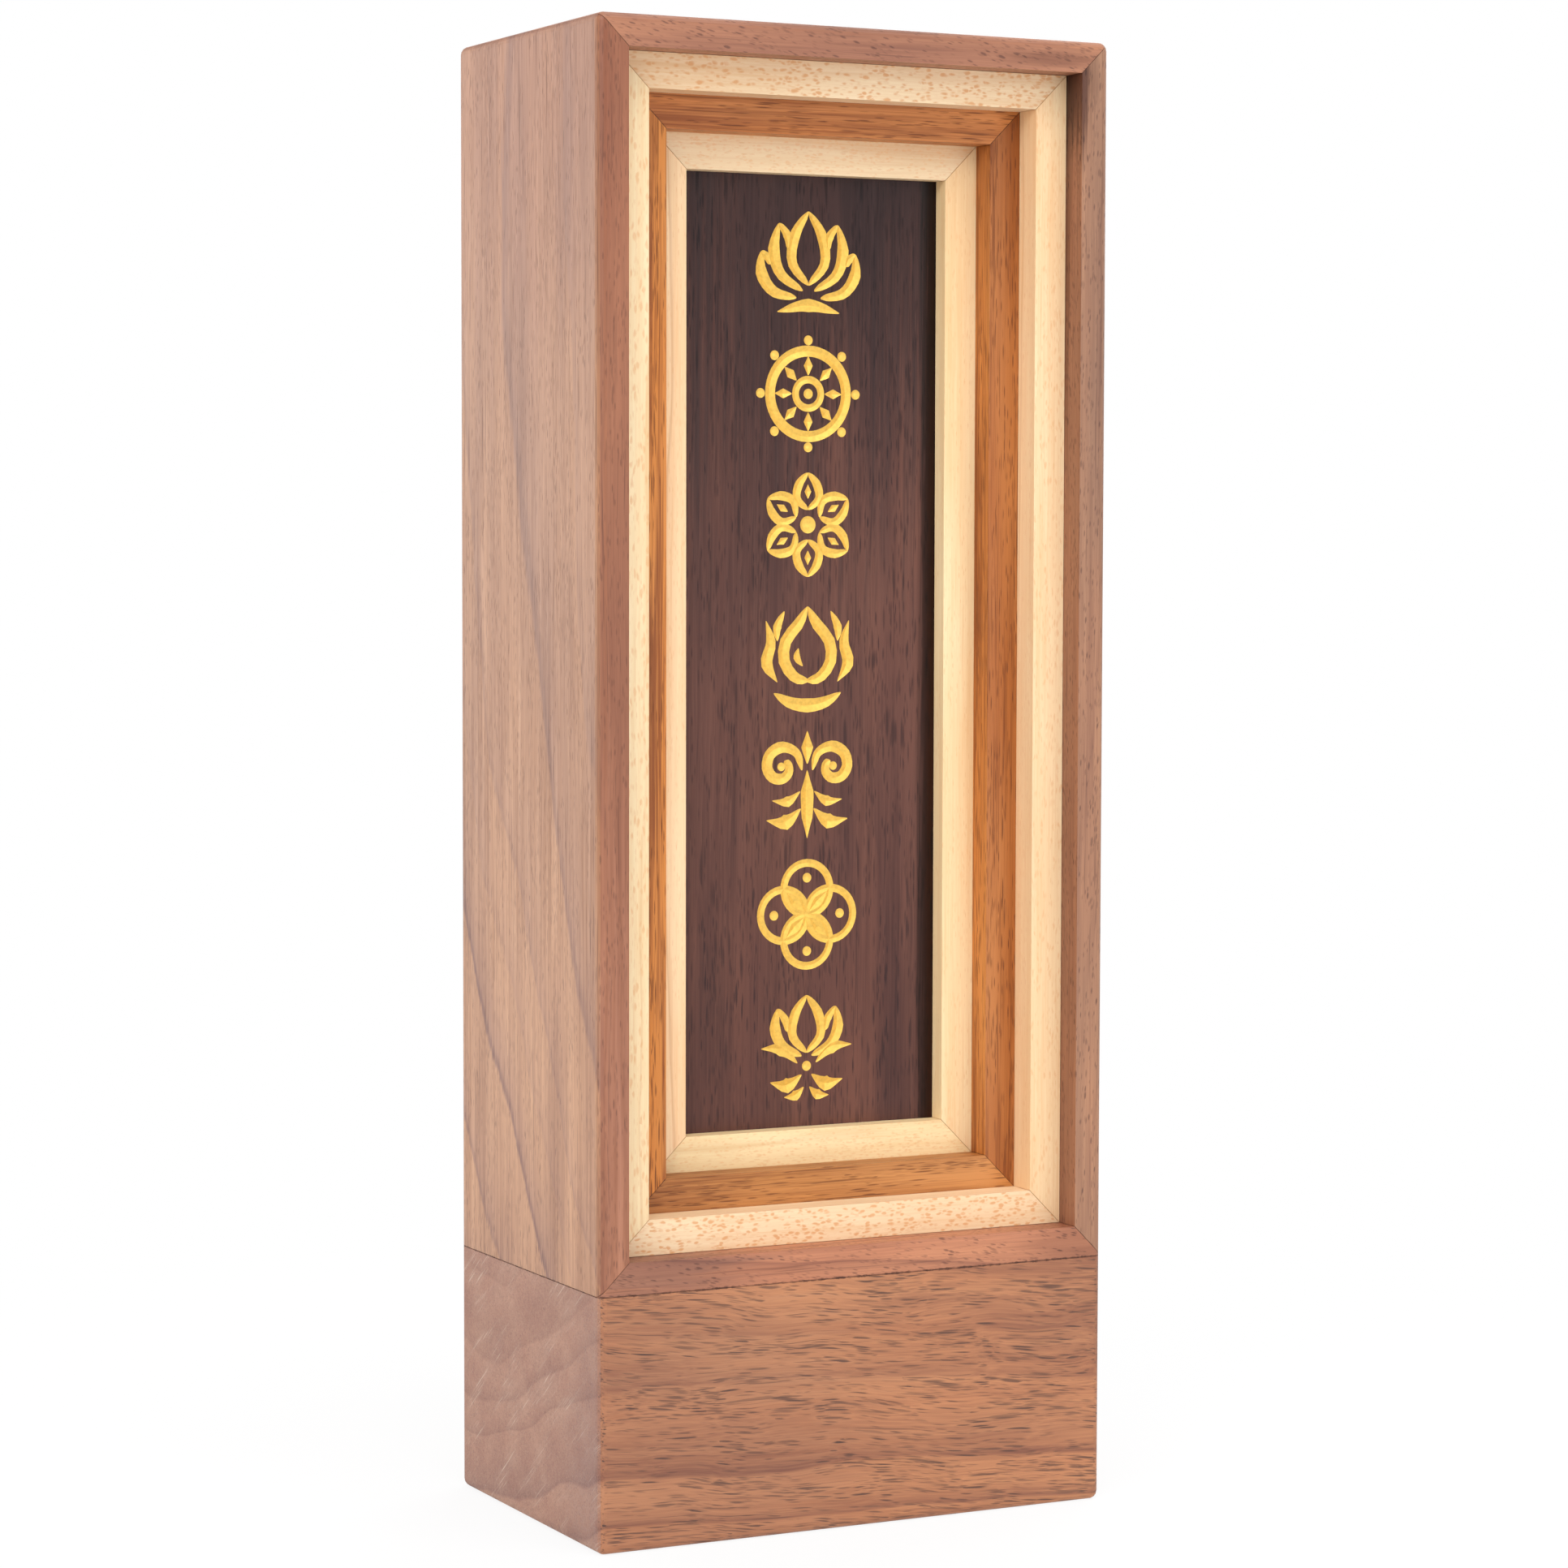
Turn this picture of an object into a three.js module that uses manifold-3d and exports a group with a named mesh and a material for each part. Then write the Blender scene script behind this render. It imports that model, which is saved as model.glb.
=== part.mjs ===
// Wooden memorial tablet: a mitred walnut case on a solid walnut base, three stepped frames
// round a dark board, plain name boards stacked behind it and a lift-out back panel.
// Millimetres, +Z up. The front faces -Y and the origin is the centre of the underside.
import * as THREE from 'three';
import { ConvexGeometry } from 'three/addons/geometries/ConvexGeometry.js';
import { mergeVertices } from 'three/addons/utils/BufferGeometryUtils.js';
import Module from 'manifold-3d';

// Whole block
const WIDTH = 71;
const DEPTH = 44;
const BASE_HEIGHT = 31.8;
const CASE_HEIGHT = 155.2;
const EDGE_RADIUS = 1.1;
const EDGE_STEPS = 4;

// Case boards
const CASE_WALL = 4.0;
const FRONT_RECESS = 3.9;

// Stepped frames, from the front to the back
const FRONT_FRAME_BAR = 4.4;
const FRONT_FRAME_THICKNESS = 4.2;
const MIDDLE_FRAME_BAR = 4.3;
const MIDDLE_FRAME_THICKNESS = 3.7;
const INNER_FRAME_BAR = 4.45;
const INNER_FRAME_THICKNESS = 2.5;

// Boards in the compartment behind the frames
const LINER_SIDE = 9;
const LINER_END = 9;
const DARK_BOARD_THICKNESS = 3;
const NAME_BOARD_COUNT = 8;
const NAME_BOARD_THICKNESS = 1.8;
const NAME_BOARD_CORNER = 3;

// Back panel
const PANEL_THICKNESS = 4.2;
const PANEL_INSET = 0.5;
const FINGER_HOLE_RADIUS = 7;
const FINGER_HOLE_DROP = 22;

// Fasteners
const DOWEL_RADIUS = 3;
const DOWEL_BASE_DEPTH = 12;
const DOWEL_SIDE_DISTANCE = 13.5;
const MAGNET_RADIUS = 2.5;
const MAGNET_THICKNESS = 2;
const MAGNET_END_DISTANCE = 14;

// Clearances
const MITRE_GAP = 0.03;
const FRAME_FIT = 0.05;
const LAYER_GAP = 0.05;
const BASE_JOINT_GAP = 0.05;
const BOARD_SIDE_FIT = 0.3;
const BOARD_FLOOR_FIT = 0.1;
const BOARD_SPACING = 0.15;
const PANEL_FIT = 0.3;
const PANEL_SEAT_GAP = 0.2;
const DOWEL_FIT = 0.15;
const MAGNET_FIT = 0.1;
const ROUND_SIDES = 32;

// Places that follow from the sizes above
const front = -DEPTH / 2;
const back = DEPTH / 2;
const caseBottom = BASE_HEIGHT + BASE_JOINT_GAP;
const caseTop = BASE_HEIGHT + CASE_HEIGHT;
const frontFrameY = front + FRONT_RECESS;
const middleFrameY = frontFrameY + FRONT_FRAME_THICKNESS;
const innerFrameY = middleFrameY + MIDDLE_FRAME_THICKNESS;
const compartmentY = innerFrameY + INNER_FRAME_THICKNESS;
const panelFrontY = back - PANEL_INSET - PANEL_THICKNESS;
const linerBackY = panelFrontY - PANEL_SEAT_GAP;

const wasm = await Module();
wasm.setup();

// Solids
function toSolid(geometry) {
  const plain = geometry.clone();
  plain.deleteAttribute('normal');
  plain.deleteAttribute('uv');
  const merged = mergeVertices(plain);
  return new wasm.Manifold(new wasm.Mesh({
    numProp: 3,
    vertProperties: new Float32Array(merged.attributes.position.array),
    triVerts: new Uint32Array(merged.index.array),
  }));
}

function toGeometry(solid) {
  const mesh = solid.getMesh();
  const geometry = new THREE.BufferGeometry();
  geometry.setAttribute('position', new THREE.BufferAttribute(mesh.vertProperties, 3));
  geometry.setIndex(new THREE.BufferAttribute(mesh.triVerts, 1));
  return geometry;
}

// A rectangle in the front view, with its sides given as x and z
function rectangle(left, right, bottom, top) {
  return { left, right, bottom, top };
}

function inset(rect, amount) {
  return rectangle(rect.left + amount, rect.right - amount, rect.bottom + amount, rect.top - amount);
}

// A plate with the given outline in the front view, from one depth to another
function plate(points, yFront, yBack) {
  const shape = new THREE.Shape(points.map(([x, z]) => new THREE.Vector2(x, z)));
  const geometry = new THREE.ExtrudeGeometry(shape, { depth: yBack - yFront, bevelEnabled: false });
  geometry.rotateX(Math.PI / 2);
  geometry.translate(0, yBack, 0);
  return geometry;
}

function rectanglePoints(rect) {
  return [
    [rect.left, rect.bottom],
    [rect.right, rect.bottom],
    [rect.right, rect.top],
    [rect.left, rect.top],
  ];
}

// The outlines of four bars that meet at mitred corners round a rectangle
function mitredBars(outer, bar) {
  const inner = inset(outer, bar);
  const gap = MITRE_GAP;
  return {
    left: [
      [outer.left, outer.bottom + gap],
      [inner.left, inner.bottom + gap],
      [inner.left, inner.top - gap],
      [outer.left, outer.top - gap],
    ],
    right: [
      [inner.right, inner.bottom + gap],
      [outer.right, outer.bottom + gap],
      [outer.right, outer.top - gap],
      [inner.right, inner.top - gap],
    ],
    top: [
      [inner.left + gap, inner.top],
      [inner.right - gap, inner.top],
      [outer.right - gap, outer.top],
      [outer.left + gap, outer.top],
    ],
    bottom: [
      [outer.left + gap, outer.bottom],
      [outer.right - gap, outer.bottom],
      [inner.right - gap, inner.bottom],
      [inner.left + gap, inner.bottom],
    ],
  };
}

// The block with all its outer edges rounded, as the hull of eight ball octants
function roundedBlock(width, depth, height, radius) {
  const points = [];
  for (const sx of [-1, 1]) {
    for (const sy of [-1, 1]) {
      for (const sz of [0, 1]) {
        const centreZ = sz ? height - radius : radius;
        for (let i = 0; i <= EDGE_STEPS; i++) {
          const rise = (i / EDGE_STEPS) * (Math.PI / 2);
          for (let j = 0; j <= EDGE_STEPS; j++) {
            const turn = (j / EDGE_STEPS) * (Math.PI / 2);
            points.push(new THREE.Vector3(
              sx * (width / 2 - radius + radius * Math.cos(rise) * Math.cos(turn)),
              sy * (depth / 2 - radius + radius * Math.cos(rise) * Math.sin(turn)),
              centreZ + (sz ? 1 : -1) * radius * Math.sin(rise),
            ));
          }
        }
      }
    }
  }
  return new ConvexGeometry(points);
}

// A round rod or drill along Z or Y, between two places on that axis
function roundAlongZ(radius, x, y, low, high) {
  const geometry = new THREE.CylinderGeometry(radius, radius, high - low, ROUND_SIDES);
  geometry.rotateX(Math.PI / 2);
  geometry.translate(x, y, (low + high) / 2);
  return geometry;
}

function roundAlongY(radius, x, z, low, high) {
  const geometry = new THREE.CylinderGeometry(radius, radius, high - low, ROUND_SIDES);
  geometry.translate(x, (low + high) / 2, z);
  return geometry;
}

function cutAll(solid, tools) {
  return tools.reduce((left, tool) => left.subtract(toSolid(tool)), solid);
}

// Finishes
const WALNUT = { color: 0xb27864, roughness: 0.55, metalness: 0 };
const MAPLE = { color: 0xffe1b4, roughness: 0.5, metalness: 0 };
const BROWN_WOOD = { color: 0xbe733c, roughness: 0.5, metalness: 0 };
const DARK_WOOD = { color: 0x503c3a, roughness: 0.35, metalness: 0 };
const WHITE_WOOD = { color: 0xf0deb8, roughness: 0.65, metalness: 0 };
const BEECH = { color: 0xd9b48a, roughness: 0.6, metalness: 0 };
const NICKEL = { color: 0xc4c6ca, roughness: 0.25, metalness: 1 };

const tablet = new THREE.Group();

function add(name, geometry, finish) {
  const mesh = new THREE.Mesh(geometry, new THREE.MeshStandardMaterial(finish));
  mesh.name = name;
  tablet.add(mesh);
}

// Opening of the case, and the places of the repeated fasteners in it
const caseOpening = rectangle(
  -WIDTH / 2 + CASE_WALL,
  WIDTH / 2 - CASE_WALL,
  caseBottom + CASE_WALL,
  caseTop - CASE_WALL,
);
const dowelY = (compartmentY + linerBackY) / 2;
const dowelXs = [caseOpening.left + DOWEL_SIDE_DISTANCE, caseOpening.right - DOWEL_SIDE_DISTANCE];
const magnetX = caseOpening.right - LINER_SIDE / 2;
const magnetPlaces = [
  [-magnetX, caseOpening.bottom + MAGNET_END_DISTANCE],
  [magnetX, caseOpening.bottom + MAGNET_END_DISTANCE],
  [-magnetX, caseOpening.top - MAGNET_END_DISTANCE],
  [magnetX, caseOpening.top - MAGNET_END_DISTANCE],
];

// Base block, with a blind hole for each dowel
const block = toSolid(roundedBlock(WIDTH, DEPTH, caseTop, EDGE_RADIUS));
const baseOutline = rectanglePoints(rectangle(-WIDTH, WIDTH, -WIDTH, BASE_HEIGHT));
const dowelDrills = dowelXs.map((x) => roundAlongZ(
  DOWEL_RADIUS + DOWEL_FIT,
  x,
  dowelY,
  BASE_HEIGHT - DOWEL_BASE_DEPTH,
  caseOpening.bottom + CASE_WALL,
));
const baseBlank = block.intersect(toSolid(plate(baseOutline, -DEPTH, DEPTH)));
add('base_block', toGeometry(cutAll(baseBlank, dowelDrills)), WALNUT);

// Case boards, mitred at the four corners
const caseOutline = rectangle(-WIDTH / 2, WIDTH / 2, caseBottom, caseTop);
for (const [side, outline] of Object.entries(mitredBars(caseOutline, CASE_WALL))) {
  const board = block.intersect(toSolid(plate(outline, -DEPTH, DEPTH)));
  const cut = side === 'bottom' ? cutAll(board, dowelDrills) : board;
  add(`case_${side}_board`, toGeometry(cut), WALNUT);
}

// Dowels between the case and the base
dowelXs.forEach((x, i) => {
  const name = i === 0 ? 'base_dowel_left' : 'base_dowel_right';
  const low = BASE_HEIGHT - DOWEL_BASE_DEPTH + DOWEL_FIT;
  add(name, roundAlongZ(DOWEL_RADIUS, x, dowelY, low, caseOpening.bottom - DOWEL_FIT), BEECH);
});

// Stepped frames: each one fills the case opening, and its own opening is smaller
const frameOutline = inset(caseOpening, FRAME_FIT);
const frames = [
  { name: 'front', step: FRONT_FRAME_BAR, front: frontFrameY, back: middleFrameY, finish: MAPLE },
  { name: 'middle', step: MIDDLE_FRAME_BAR, front: middleFrameY, back: innerFrameY, finish: BROWN_WOOD },
  { name: 'inner', step: INNER_FRAME_BAR, front: innerFrameY, back: compartmentY, finish: MAPLE },
];
let barWidth = 0;
for (const frame of frames) {
  barWidth += frame.step;
  for (const [side, outline] of Object.entries(mitredBars(frameOutline, barWidth))) {
    add(`${frame.name}_frame_${side}`, plate(outline, frame.front, frame.back - LAYER_GAP), frame.finish);
  }
}

// Liner of the compartment: two full-height sides with a magnet pocket at each end, and two ends
const linerOutline = frameOutline;
const compartment = rectangle(
  linerOutline.left + LINER_SIDE,
  linerOutline.right - LINER_SIDE,
  linerOutline.bottom + LINER_END,
  linerOutline.top - LINER_END,
);
const linerPockets = magnetPlaces.map(([x, z]) => roundAlongY(
  MAGNET_RADIUS + MAGNET_FIT,
  x,
  z,
  linerBackY - MAGNET_THICKNESS - MAGNET_FIT,
  linerBackY + MAGNET_THICKNESS,
));
const linerParts = {
  left: rectangle(linerOutline.left, compartment.left - FRAME_FIT, linerOutline.bottom, linerOutline.top),
  right: rectangle(compartment.right + FRAME_FIT, linerOutline.right, linerOutline.bottom, linerOutline.top),
  top: rectangle(compartment.left, compartment.right, compartment.top, linerOutline.top),
  bottom: rectangle(compartment.left, compartment.right, linerOutline.bottom, compartment.bottom),
};
for (const [side, rect] of Object.entries(linerParts)) {
  const bar = toSolid(plate(rectanglePoints(rect), compartmentY, linerBackY));
  add(`liner_${side}`, toGeometry(cutAll(bar, linerPockets)), BROWN_WOOD);
}

// Boards in the compartment: the dark board in front, the name boards behind it
const boardOutline = rectangle(
  compartment.left + BOARD_SIDE_FIT,
  compartment.right - BOARD_SIDE_FIT,
  compartment.bottom + BOARD_FLOOR_FIT,
  compartment.top - BOARD_SIDE_FIT,
);
const nameBoardPoints = [
  [boardOutline.left, boardOutline.bottom],
  [boardOutline.right, boardOutline.bottom],
  [boardOutline.right, boardOutline.top - NAME_BOARD_CORNER],
  [boardOutline.right - NAME_BOARD_CORNER, boardOutline.top],
  [boardOutline.left + NAME_BOARD_CORNER, boardOutline.top],
  [boardOutline.left, boardOutline.top - NAME_BOARD_CORNER],
];
const darkBoardFrontY = compartmentY + LAYER_GAP;
const darkBoardBackY = darkBoardFrontY + DARK_BOARD_THICKNESS;
add('dark_board', plate(rectanglePoints(boardOutline), darkBoardFrontY, darkBoardBackY), DARK_WOOD);
for (let i = 0; i < NAME_BOARD_COUNT; i++) {
  const y = darkBoardBackY + BOARD_SPACING + i * (NAME_BOARD_THICKNESS + BOARD_SPACING);
  add(`name_board_${i + 1}`, plate(nameBoardPoints, y, y + NAME_BOARD_THICKNESS), WHITE_WOOD);
}

// Back panel, with a finger hole and a magnet pocket over each magnet of the liner
const panelOutline = rectanglePoints(inset(caseOpening, PANEL_FIT));
const fingerHole = roundAlongY(
  FINGER_HOLE_RADIUS,
  0,
  caseOpening.top - FINGER_HOLE_DROP,
  panelFrontY - PANEL_THICKNESS,
  back + PANEL_THICKNESS,
);
const panelPockets = magnetPlaces.map(([x, z]) => roundAlongY(
  MAGNET_RADIUS + MAGNET_FIT,
  x,
  z,
  panelFrontY - MAGNET_THICKNESS,
  panelFrontY + MAGNET_THICKNESS + MAGNET_FIT,
));
const panelBlank = toSolid(plate(panelOutline, panelFrontY, panelFrontY + PANEL_THICKNESS));
add('back_panel', toGeometry(cutAll(panelBlank, [fingerHole, ...panelPockets])), WALNUT);

// Disc magnets, one pair at each place
magnetPlaces.forEach(([x, z], i) => {
  const linerMagnet = roundAlongY(MAGNET_RADIUS, x, z, linerBackY - MAGNET_THICKNESS, linerBackY);
  const panelMagnet = roundAlongY(MAGNET_RADIUS, x, z, panelFrontY, panelFrontY + MAGNET_THICKNESS);
  add(`liner_magnet_${i + 1}`, linerMagnet, NICKEL);
  add(`panel_magnet_${i + 1}`, panelMagnet, NICKEL);
});

export default tablet;
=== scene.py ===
# Looks of a wooden memorial tablet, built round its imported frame.
# Metres, +Z up. The framed front faces -Y and the origin is the centre of the underside.
import math

import bmesh
import bpy
from mathutils import Euler, Matrix, Vector


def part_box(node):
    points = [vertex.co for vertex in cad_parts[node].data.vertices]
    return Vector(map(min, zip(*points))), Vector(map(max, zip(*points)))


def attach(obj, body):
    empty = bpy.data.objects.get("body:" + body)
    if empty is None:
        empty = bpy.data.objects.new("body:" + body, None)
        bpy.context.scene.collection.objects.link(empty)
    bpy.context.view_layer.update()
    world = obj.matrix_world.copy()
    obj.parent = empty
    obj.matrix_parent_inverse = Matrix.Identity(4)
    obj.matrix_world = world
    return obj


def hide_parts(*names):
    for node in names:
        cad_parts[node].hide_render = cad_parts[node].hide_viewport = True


bl_info = {
    "name": "Wooden memorial tablet",
    "version": (1, 0, 0),
    "blender": (4, 5, 0),
    "location": "3D View > Sidebar > Tablet",
    "description": "Finishes, carving and studio for a wooden memorial tablet",
    "category": "Object",
}

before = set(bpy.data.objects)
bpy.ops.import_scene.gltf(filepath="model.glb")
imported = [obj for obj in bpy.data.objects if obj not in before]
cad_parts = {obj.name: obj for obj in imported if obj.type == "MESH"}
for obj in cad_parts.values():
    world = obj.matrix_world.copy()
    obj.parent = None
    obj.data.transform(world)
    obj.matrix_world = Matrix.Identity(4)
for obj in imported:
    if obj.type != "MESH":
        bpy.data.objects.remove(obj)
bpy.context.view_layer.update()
MM = 0.001

SIDES = ("left", "right", "top", "bottom")
NAME_BOARDS = [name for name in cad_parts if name.startswith("name_board_")]
MAGNETS = [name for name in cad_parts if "_magnet_" in name]
DOWELS = ("base_dowel_left", "base_dowel_right")
MAGNET_EASE = 0.2 * MM
DOWEL_EASE = 0.3 * MM
BEVEL_ANGLE = math.radians(40)
EDGE_ANGLE = math.radians(38)
CARVING_ANGLE = math.radians(16)
FEWEST_CARVED_FACES = 100

# Camera, solved from the edges of the block in the photograph's 1932 frame; angles in degrees
PHOTO_SIZE = 1932
FOCAL_PIXELS = 5228
CENTRE_PIXEL = (986.2, 992.5)
CAMERA_PLACE = (-0.24495, -0.48879, 0.12431)
CAMERA_YAW, CAMERA_PITCH, CAMERA_ROLL = 26.89, -3.62, 0.14
SENSOR_WIDTH = 36
NEAREST_SEEN = 0.01

# Soft lights: place, width and height. All are aimed at the middle of the object.
LIGHTS = {
    "key": ((-1.05, -0.85, 0.85), 1, 1),
    "top": ((0.1, -0.55, 1.2), 0.8, 0.6),
    "fill": ((0.55, -1, 0.13), 0.8, 0.24),
    "rim": ((-0.5, 1, 0.2), 0.8, 0.6),
    "back": ((0.8, 0.7, 0.6), 0.9, 0.9),
}
LIGHT_AIM = (0, 0, 0.1)

# Distances from the object between which the floor fades to white, and its share of white beside it
FLOOR_FADE = (0.02, 0.2)
FLOOR_WHITE = 0.86
FLOOR_TONES = ((0.93, 0.93, 0.93, 1), (0.95, 0.95, 0.95, 1))
WHITE = (1, 1, 1, 1)


def linear(rgb):
    """A colour given as 0 to 255 screen values, as linear light."""
    parts = [value / 255 for value in rgb]
    return tuple(part / 12.92 if part <= 0.04045 else ((part + 0.055) / 1.055) ** 2.4 for part in parts)


def colour_property(name, description, rgb):
    return bpy.props.FloatVectorProperty(
        name=name, description=description, subtype="COLOR", size=3, min=0, max=1, default=linear(rgb)
    )


def length_property(name, description, millimetres):
    return bpy.props.FloatProperty(
        name=name, description=description, default=millimetres * MM, min=0, unit="LENGTH", precision=5
    )


def power_property(name, description, watts):
    return bpy.props.FloatProperty(
        name=name, description=description, default=watts, min=0, unit="POWER"
    )


class TabletWoods(bpy.types.PropertyGroup):
    """Colours of the woods and the gilding."""

    maple_fleck: colour_property("Maple flecks", "Ray flecks of the light frames", (230, 168, 108))
    joint_dark: colour_property("Dark joint", "Glue lines in the dark woods", (84, 48, 34))
    joint_pale: colour_property("Pale joint", "Glue lines in the light woods", (206, 148, 88))
    gilt: colour_property("Gilding", "Gilding in the carved ornaments", (246, 200, 92))
    nickel: colour_property("Nickel", "Plating of the disc magnets", (200, 202, 206))


# Each wood's place, and its light, dark, tint and pore colours
WOOD_COLOURS = {
    "walnut": ("case", (186, 123, 92), (128, 78, 62), (232, 220, 226), (84, 50, 44)),
    "block": ("base block", (191, 131, 91), (134, 86, 66), (236, 224, 224), (66, 50, 48)),
    "maple": ("light frames", (255, 234, 192), (242, 206, 154), (255, 246, 236), (228, 178, 124)),
    "brown": ("middle frame", (206, 140, 82), (144, 84, 42), (244, 234, 214), (102, 54, 30)),
    "board": ("dark board", (108, 68, 56), (76, 47, 42), (222, 220, 230), (36, 26, 30)),
    "plain": ("name boards", (238, 216, 176), (214, 178, 126), (255, 246, 236), (228, 178, 124)),
}
WOOD_PARTS = {
    "light": "Early wood of the {}", "dark": "Late wood of the {}",
    "tint": "Hue of the uneven patches of the {}", "pore": "Open pores of the {}",
}
for wood_name, (place, *colours) in WOOD_COLOURS.items():
    for (part, description), rgb in zip(WOOD_PARTS.items(), colours):
        TabletWoods.__annotations__[f"{wood_name}_{part}"] = colour_property(
            f"{wood_name.capitalize()} {part}", description.format(place), rgb
        )


class TabletSizes(bpy.types.PropertyGroup):
    """Sizes of the carving and of the eased edges."""

    edge_ease: length_property("Edge easing", "Rounding of the sanded inner edges", 0.16)
    fine_ease: length_property("Fine easing", "Rounding at glued joints", 0.04)
    ornament_pitch: length_property("Ornament pitch", "Distance between two ornaments", 16.55)
    carving_overlap: length_property("Cutter overlap", "How far a cutter stands out of the board", 0.3)
    carving_slope: bpy.props.FloatProperty(
        name="Carving slope", description="Depth of the V cut as a share of its half width",
        default=0.45, min=0.1, max=2,
    )


class TabletStudio(bpy.types.PropertyGroup):
    """Light and background."""

    world_strength: bpy.props.FloatProperty(
        name="World strength", description="Even light from all round", default=0.48, min=0, max=3
    )
    key_power: power_property("Key light", "Large light at the left", 13.1)
    top_power: power_property("Top light", "Large light above the object", 6.1)
    fill_power: power_property("Fill light", "Long low light at the front right", 1.6)
    rim_power: power_property("Rim light", "Light behind the object on the left", 2.6)
    back_power: power_property("Back light", "Large light behind the object on the right", 6)
    floor_size: bpy.props.FloatProperty(
        name="Floor size", description="Width of the pale floor", default=6, min=1, unit="LENGTH"
    )


def opaque(colour):
    return (*colour, 1)


def per_mm(across, along):
    """How many features of a noise there are to a millimetre, across and along the fibres."""
    return across, across, along


class NodeSheet:
    """The node tree of a material or of the world, with short ways to add nodes to it."""

    def __init__(self, owner):
        owner.use_nodes = True
        self.owner, self.tree = owner, owner.node_tree
        self.shader = self.tree.nodes.get("Principled BSDF")

    def add(self, kind, values=(), **settings):
        """Adds a node and gives its outputs; values are its inputs, each a socket or a constant."""
        node = self.tree.nodes.new("ShaderNode" + kind)
        for key, value in settings.items():
            setattr(node, key, value)
        for key, value in dict(values).items():
            self.feed(node.inputs[key], value)
        return node.outputs

    def feed(self, socket, value):
        if isinstance(value, bpy.types.NodeSocket):
            self.tree.links.new(value, socket)
        else:
            socket.default_value = value

    def shade(self, values):
        """Sets inputs of the shader, each to a socket or a constant."""
        for name, value in values.items():
            self.feed(self.shader.inputs[name], value)

    def bump(self, height, strength, depth):
        """Relief too fine for the mesh; depth is in mm."""
        values = {"Strength": strength, "Distance": depth * MM, "Height": height}
        self.shade({"Normal": self.add("Bump", values)[0]})

    def place_in_mm(self):
        """The place on the object in mm, and the surface's normal."""
        outputs = self.add("TexCoord")
        return self.scaled(outputs["Object"], (1 / MM,) * 3), outputs["Normal"]

    def math(self, operation, first, second=0):
        return self.add("Math", {0: first, 1: second}, operation=operation)[0]

    def total(self, *values):
        result = values[0]
        for value in values[1:]:
            result = self.math("ADD", result, value)
        return result

    def product(self, *values):
        result = values[0]
        for value in values[1:]:
            result = self.math("MULTIPLY", result, value)
        return result

    def about(self, value, middle=0.5):
        """A value counted from a middle value."""
        return self.math("SUBTRACT", value, middle)

    def vector(self, operation, first, second=(0, 0, 0)):
        return self.add("VectorMath", {0: first, 1: second}, operation=operation)

    def scaled(self, vector, scale):
        return self.vector("MULTIPLY", vector, scale)[0]

    def shifted(self, vector, by):
        return self.vector("ADD", vector, by)[0]

    def length(self, vector):
        return self.vector("LENGTH", vector)["Value"]

    def apart(self, vector):
        return self.add("SeparateXYZ", {0: vector})

    def noise(self, vector, scale, detail=2, roughness=0.5, output="Fac"):
        """Smooth noise; scale says how many features there are to a unit on each axis."""
        place = self.scaled(vector, scale)
        values = {"Vector": place, "Scale": 1, "Detail": detail, "Roughness": roughness}
        return self.add("TexNoise", values)[output]

    def wander(self, vector, scale):
        """A smoothly changing offset of up to half a unit each way."""
        colour = self.noise(vector, scale, detail=1.5, output="Color")
        return self.vector("SUBTRACT", colour, (0.5, 0.5, 0.5))[0]

    def noise_line(self, value):
        """Smooth noise along one number."""
        values = {"W": value, "Scale": 1, "Detail": 1}
        return self.add("TexNoise", values, noise_dimensions="1D")["Fac"]

    def chance(self, value):
        """One random number for each whole number."""
        return self.add("TexWhiteNoise", {"W": value}, noise_dimensions="1D")["Value"]

    def cells(self, vector):
        """Distance to the nearest cell's centre, and two random numbers of that cell."""
        cell = self.add("TexVoronoi", {"Vector": vector, "Scale": 1})
        numbers = self.apart(cell["Color"])
        return cell["Distance"], numbers[0], numbers[1]

    def ranged(self, value, low, high, to_low=0, to_high=1, smooth=False):
        values = {
            "Value": value, "From Min": low, "From Max": high, "To Min": to_low, "To Max": to_high
        }
        kind = "SMOOTHSTEP" if smooth else "LINEAR"
        return self.add("MapRange", values, clamp=True, interpolation_type=kind)["Result"]

    def mixed(self, factor, first, second, blend="MIX"):
        """A mix of two colours, whose sockets on the node are 6 and 7, and 2 for the result."""
        values = {0: factor, 6: first, 7: second}
        return self.add("Mix", values, data_type="RGBA", clamp_factor=True, blend_type=blend)[2]

    def multiplied(self, factor, colour, by):
        """The colour multiplied by another one, by as much as the factor says."""
        return self.mixed(factor, colour, opaque(by), "MULTIPLY")


# How each kind of wood is built up. Lengths are in mm, and colours multiply the wood's own.
# ring: width of a growth ring; calm: share of faint rings; late and line: how dark the late wood and
# its last thin line get; late_tint: colour of the late wood; edge: where in a ring this line starts and
# is full, and where the ring starts to end; plain_front: rings faint on the front; jagged: how far the
# fibres fray the rings; warp and waver: wide and small wandering of the rings; waves: small ones to a
# mm, across and along; flow: how far the fibres follow them; patch, fibre and tint: changes of tone, of
# fine streaks and of hue; pores: sets of (width, length, share of cells, strength); cluster: how far
# they keep together; hair: long thin dark lines; end_tone: colour of the end grain; relief: pore depth
WOOD = dict(
    calm=0.15, late_tint=(1, 1, 1), edge=(0.8, 0.95, 0.93), plain_front=False,
    jagged=0, warp=3, waves=(0.3, 0.05), flow=0.6, hair=0.2,
    end_tone=(0.75, 0.75, 0.75), roughness=0.46, specular=0.36, relief=0.03,
)
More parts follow.
